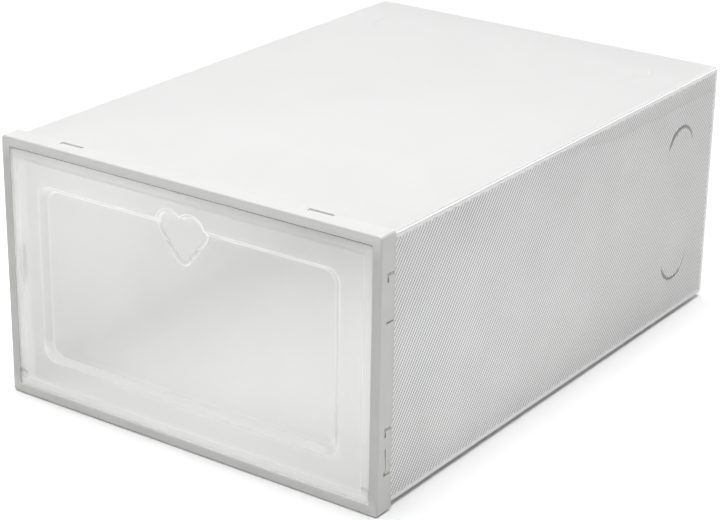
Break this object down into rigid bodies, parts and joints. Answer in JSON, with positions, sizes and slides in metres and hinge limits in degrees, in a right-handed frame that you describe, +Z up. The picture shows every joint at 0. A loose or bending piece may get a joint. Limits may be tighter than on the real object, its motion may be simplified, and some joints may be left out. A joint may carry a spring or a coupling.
{
  "type": "shoe box",
  "caption": "Drop-front stackable shoe box: folded white plastic sleeve, moulded ring frame and a clear door that tips forward on pegs.",
  "frame": {"origin": "centre of the footprint, at the level of the frame's underside, which is the lowest plane", "axes": "+X to the right seen from the door side, the door faces -Y and its length runs along Y, +Z up"},
  "size_m": [0.23, 0.33, 0.14],
  "materials": {
    "frame_plastic": "satin white moulded polypropylene",
    "sheet_plastic": "matt white sheet with a fine diamond emboss, slightly translucent",
    "sheet_crease": "pressed fold line, a little glossier than the sheet",
    "clear_plastic": "clear glossy field with a lightly frosted border and finger pull"
  },
  "bodies": {
    "box": {"front_frame": "frame_plastic", "top_panel": "sheet_plastic", "bottom_panel": "sheet_plastic", "left_panel": "sheet_plastic", "right_panel": "sheet_plastic", "top_left_crease": "sheet_crease", "bottom_left_crease": "sheet_crease", "top_right_crease": "sheet_crease", "bottom_right_crease": "sheet_crease", "rear_left_crease": "sheet_crease", "rear_right_crease": "sheet_crease", "left_dust_flap": "sheet_plastic", "right_dust_flap": "sheet_plastic", "back_panel": "sheet_plastic", "back_bottom_crease": "sheet_crease", "tuck_crease": "sheet_crease", "tuck_flap": "sheet_plastic", "seam_flap": "sheet_plastic"},
    "door": {"door": "clear_plastic"}
  },
  "joints": [
    {"name": "door_hinge", "type": "hinge", "parent": "box", "child": "door", "pos_m": [0, -0.16285, 0.0123], "axis": [1, 0, 0], "range_deg": [0, 94]}
  ]
}
